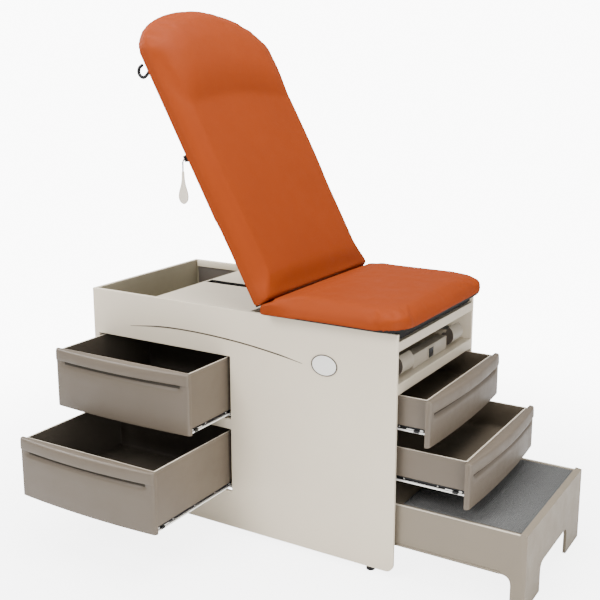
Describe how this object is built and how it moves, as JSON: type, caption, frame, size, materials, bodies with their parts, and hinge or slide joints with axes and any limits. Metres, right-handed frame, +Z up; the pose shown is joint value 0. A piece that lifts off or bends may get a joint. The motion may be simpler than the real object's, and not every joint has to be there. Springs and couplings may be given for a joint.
{
  "type": "medical exam table",
  "caption": "Box-cabinet medical exam table with orange vinyl seat and raised hinged backrest, open side and foot drawers, head tray, stirrups and a pulled-out step.",
  "frame": {"origin": "on the floor, under the middle of the bounding box with the drawers, step and backrest as stored", "axes": "+X from the head end towards the foot end with the step, -Y the side that the two side drawers open towards, +Z up"},
  "size_m": [1.588, 1.0624, 1.7441],
  "materials": {
    "cabinet_paint": "satin powder coat",
    "white_steel": "gloss epoxy coat",
    "tray_liner": "matte moulded",
    "black_steel": "satin black",
    "drawer_plastic": "fine texture moulded",
    "step_rubber": "matte ribbed",
    "upholstery": "smooth vinyl",
    "black_board": "matte",
    "bright_steel": "polished",
    "beige_plastic": "semi-gloss"
  },
  "bodies": {
    "cabinet": {"near_side_panel": "cabinet_paint", "far_side_panel": "cabinet_paint", "head_panel": "cabinet_paint", "centre_bulkhead": "cabinet_paint", "foot_rail": "cabinet_paint", "deck_panel": "cabinet_paint", "stirrup_shelf": "cabinet_paint", "socket_housing": "cabinet_paint", "hinge_beam": "white_steel", "near_base_rail": "white_steel", "far_base_rail": "white_steel", "side_bay_head_tracks": "white_steel", "side_bay_foot_tracks": "white_steel", "foot_bay_near_tracks": "white_steel", "foot_bay_far_tracks": "white_steel", "spring_crossbar": "white_steel", "blank_badge": "white_steel", "head_tray": "tray_liner", "near_head_leveler": "black_steel", "near_foot_leveler": "black_steel", "far_head_leveler": "black_steel", "far_foot_leveler": "black_steel", "power_socket": "black_steel", "near_hinge_bracket": "black_steel", "far_hinge_bracket": "black_steel", "seat_cushion": "upholstery", "near_seat_corner": "upholstery", "far_seat_corner": "upholstery", "seat_board": "black_board", "hinge_rod": "bright_steel"},
    "side_drawer_upper": {"side_drawer_upper_front": "drawer_plastic", "side_drawer_upper_box": "drawer_plastic", "side_drawer_upper_slides": "white_steel"},
    "foot_drawer_upper": {"foot_drawer_upper_front": "drawer_plastic", "foot_drawer_upper_box": "drawer_plastic", "foot_drawer_upper_slides": "white_steel"},
    "side_drawer_lower": {"side_drawer_lower_front": "drawer_plastic", "side_drawer_lower_box": "drawer_plastic", "side_drawer_lower_slides": "white_steel"},
    "foot_drawer_lower": {"foot_drawer_lower_front": "drawer_plastic", "foot_drawer_lower_box": "drawer_plastic", "foot_drawer_lower_slides": "white_steel"},
    "step": {"step_body": "drawer_plastic", "step_tread": "step_rubber"},
    "leg_extension": {"leg_extension": "black_board"},
    "backrest": {"back_cushion": "upholstery", "back_board": "black_board", "spring_bracket": "black_steel", "near_hinge_arm": "black_steel", "far_hinge_arm": "black_steel", "near_paper_hook": "black_steel", "far_paper_hook": "black_steel"},
    "near_release_handle": {"near_release_handle": "beige_plastic"},
    "near_stirrup_arm": {"near_stirrup_arm": "white_steel"},
    "near_stirrup_cup": {"near_stirrup_cup": "beige_plastic"},
    "far_release_handle": {"far_release_handle": "beige_plastic"},
    "far_stirrup_arm": {"far_stirrup_arm": "white_steel"},
    "far_stirrup_cup": {"far_stirrup_cup": "beige_plastic"},
    "gas_spring_cylinder": {"gas_spring_cylinder": "black_steel"},
    "gas_spring_rod": {"gas_spring_rod": "bright_steel"}
  },
  "joints": [
    {"name": "side_drawer_upper_slide", "type": "slide", "parent": "cabinet", "child": "side_drawer_upper", "axis": [0, -1, 0], "range_m": [-0.217, 0.183]},
    {"name": "side_drawer_lower_slide", "type": "slide", "parent": "cabinet", "child": "side_drawer_lower", "axis": [0, -1, 0], "range_m": [-0.395, 0.005]},
    {"name": "foot_drawer_upper_slide", "type": "slide", "parent": "cabinet", "child": "foot_drawer_upper", "axis": [1, 0, 0], "range_m": [-0.103, 0.297]},
    {"name": "foot_drawer_lower_slide", "type": "slide", "parent": "cabinet", "child": "foot_drawer_lower", "axis": [1, 0, 0], "range_m": [-0.232, 0.168]},
    {"name": "step_slide", "type": "slide", "parent": "cabinet", "child": "step", "axis": [1, 0, 0], "range_m": [-0.407, 0]},
    {"name": "leg_extension_slide", "type": "slide", "parent": "cabinet", "child": "leg_extension", "axis": [1, 0, 0], "range_m": [0, 0.3]},
    {"name": "backrest_tilt", "type": "hinge", "parent": "cabinet", "child": "backrest", "pos_m": [-0.054, 0.18375, 0.812], "axis": [0, 1, 0], "range_deg": [-61.2, 8.8]},
    {"name": "gas_spring_swing", "type": "hinge", "parent": "cabinet", "child": "gas_spring_cylinder", "pos_m": [-0.054, 0.18375, 0.65], "axis": [0, 1, 0], "range_deg": [-50, 8]},
    {"name": "gas_spring_stroke", "type": "slide", "parent": "gas_spring_cylinder", "child": "gas_spring_rod", "axis": [-0.4523, 0, 0.8919], "range_m": [-0.135, 0.022]},
    {"name": "near_release_handle_pull", "type": "hinge", "parent": "backrest", "child": "near_release_handle", "pos_m": [-0.35095, -0.15425, 1.25356], "axis": [0, 1, 0], "range_deg": [0, 18], "stiffness_Nm_per_rad": 0.6},
    {"name": "near_stirrup_slide", "type": "slide", "parent": "cabinet", "child": "near_stirrup_arm", "axis": [1, 0, 0], "range_m": [0, 0.22]},
    {"name": "near_stirrup_cup_turn", "type": "hinge", "parent": "near_stirrup_arm", "child": "near_stirrup_cup", "pos_m": [0.342, -0.01125, 0.661], "axis": [0, 1, 0], "range_deg": [-40, 40]},
    {"name": "far_release_handle_pull", "type": "hinge", "parent": "backrest", "child": "far_release_handle", "pos_m": [-0.35095, 0.52175, 1.25356], "axis": [0, 1, 0], "range_deg": [0, 18], "stiffness_Nm_per_rad": 0.6},
    {"name": "far_stirrup_slide", "type": "slide", "parent": "cabinet", "child": "far_stirrup_arm", "axis": [1, 0, 0], "range_m": [0, 0.22]},
    {"name": "far_stirrup_cup_turn", "type": "hinge", "parent": "far_stirrup_arm", "child": "far_stirrup_cup", "pos_m": [0.342, 0.37875, 0.661], "axis": [0, 1, 0], "range_deg": [-40, 40]}
  ],
  "couplings": [
    {"joint": "gas_spring_swing", "follows": "backrest_tilt", "ratio": 0.79741},
    {"joint": "gas_spring_stroke", "follows": "backrest_tilt", "m_per_rad": 0.1212}
  ]
}
